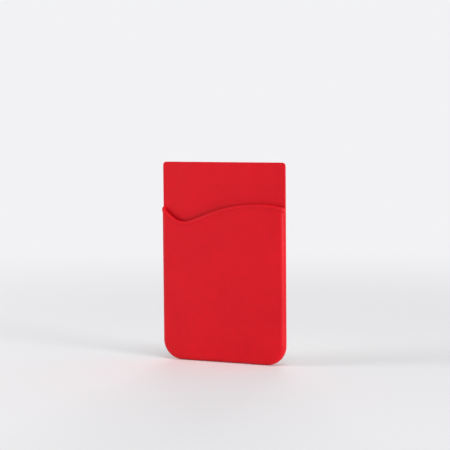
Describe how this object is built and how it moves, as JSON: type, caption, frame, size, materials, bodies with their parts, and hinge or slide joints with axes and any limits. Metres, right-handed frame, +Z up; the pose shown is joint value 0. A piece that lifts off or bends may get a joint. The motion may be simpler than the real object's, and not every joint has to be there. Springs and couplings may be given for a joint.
{
  "type": "stick-on phone card holder",
  "caption": "Thin one-piece silicone sleeve for bank cards, with a wavy lipped mouth on the front and a double-sided adhesive pad on its flat back.",
  "frame": {"origin": "centre of the adhesive pad's back face, the face that sticks to a device", "axes": "+Z up along the sleeve towards its open mouth, +Y out of the adhesive face into the device, +X to the right as seen from the front; the pocket faces -Y"},
  "size_m": [0.0575, 0.0039, 0.086],
  "materials": {
    "red_silicone": "satin moulded silicone",
    "adhesive_film": "soft matt adhesive film, slightly translucent"
  },
  "bodies": {
    "root": {"silicone_sleeve": "red_silicone", "adhesive_pad": "adhesive_film"}
  },
  "joints": []
}
